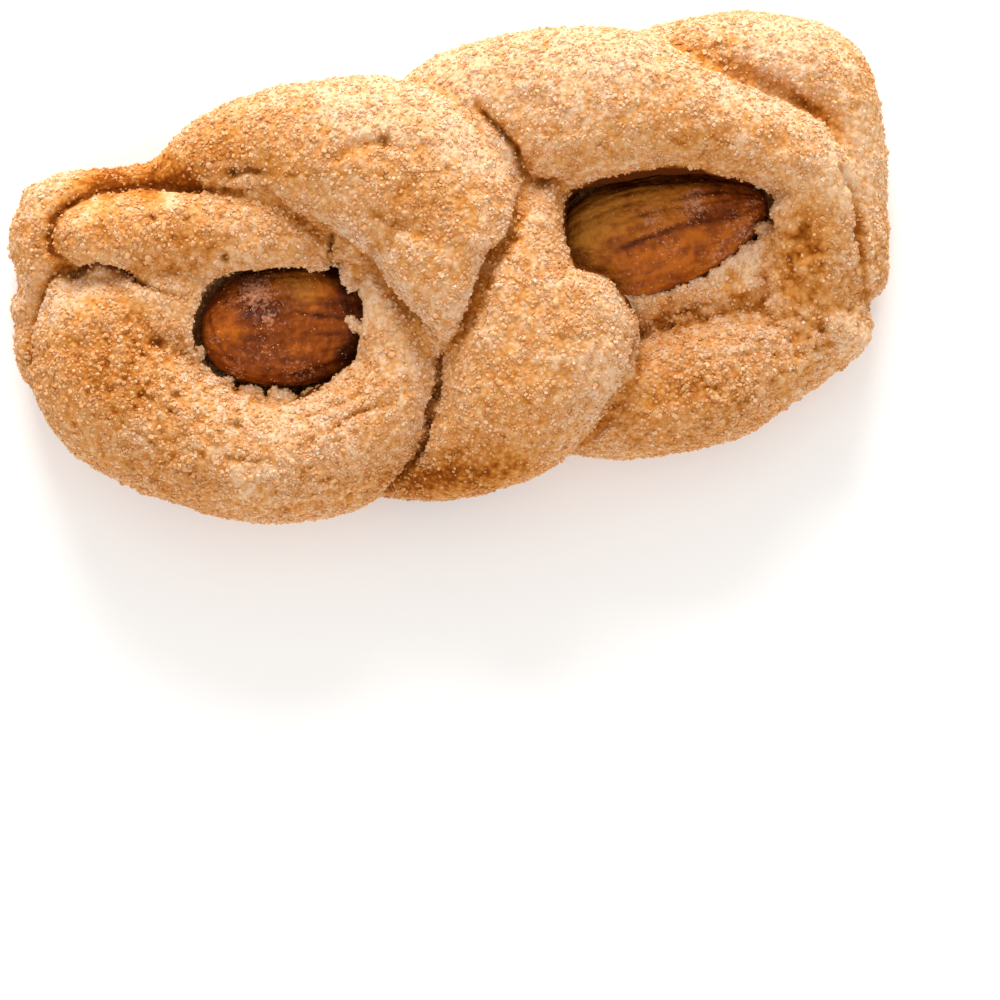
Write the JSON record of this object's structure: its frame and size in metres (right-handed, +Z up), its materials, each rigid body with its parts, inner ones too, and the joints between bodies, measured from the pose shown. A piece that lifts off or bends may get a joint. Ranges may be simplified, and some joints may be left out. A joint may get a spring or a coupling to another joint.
{
  "type": "almond twist cookie",
  "caption": "Loosely plaited sugared cookie with whole almonds set in its gaps, lying flat with its shown side up.",
  "frame": {"origin": "middle of the bottom of the cookie's box, on its flat baked underside", "axes": "+X along the cookie's length, towards the end with torn crags; +Y across its width; +Z up, out of the shown side"},
  "size_m": [0.0908, 0.0446, 0.0194],
  "materials": {
    "sugared_dough": "baked shortcrust dough, golden tan, crusted with granulated sugar",
    "almond_skin": "brown ridged almond skin, lightly glossy"
  },
  "bodies": {
    "root": {"dough": "sugared_dough", "almond_left": "almond_skin", "almond_right": "almond_skin"}
  },
  "joints": []
}
